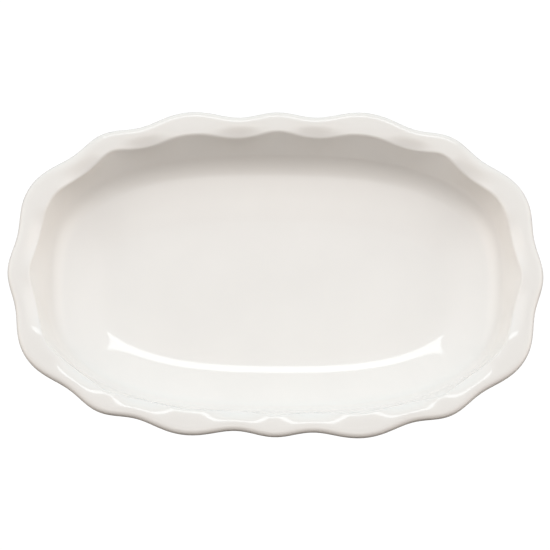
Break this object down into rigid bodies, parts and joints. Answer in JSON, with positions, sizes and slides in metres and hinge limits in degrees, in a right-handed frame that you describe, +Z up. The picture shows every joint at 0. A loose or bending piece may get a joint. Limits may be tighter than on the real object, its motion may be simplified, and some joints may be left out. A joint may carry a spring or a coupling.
{
  "type": "serving platter",
  "caption": "Deep oval serving platter of glazed stoneware, with a ruffled, rolled rim, sloping walls, a nearly flat floor and an oval foot ring.",
  "frame": {"origin": "on the table, under the middle of the foot ring", "axes": "+X along the platter's length, +Y across its width, +Z up out of the hollow"},
  "size_m": [0.3604, 0.2401, 0.0404],
  "materials": {
    "biscuit": "bare fired stoneware, smooth-sanded and matte, seen only on the foot",
    "glaze_inside": "glossy opaque warm-white glaze",
    "glaze_outside": "glossy opaque warm-white glaze",
    "glaze_base": "glossy opaque warm-white glaze"
  },
  "bodies": {
    "root": {"clay_body": "biscuit", "inside_glaze": "glaze_inside", "outside_glaze": "glaze_outside", "base_glaze": "glaze_base"}
  },
  "joints": []
}
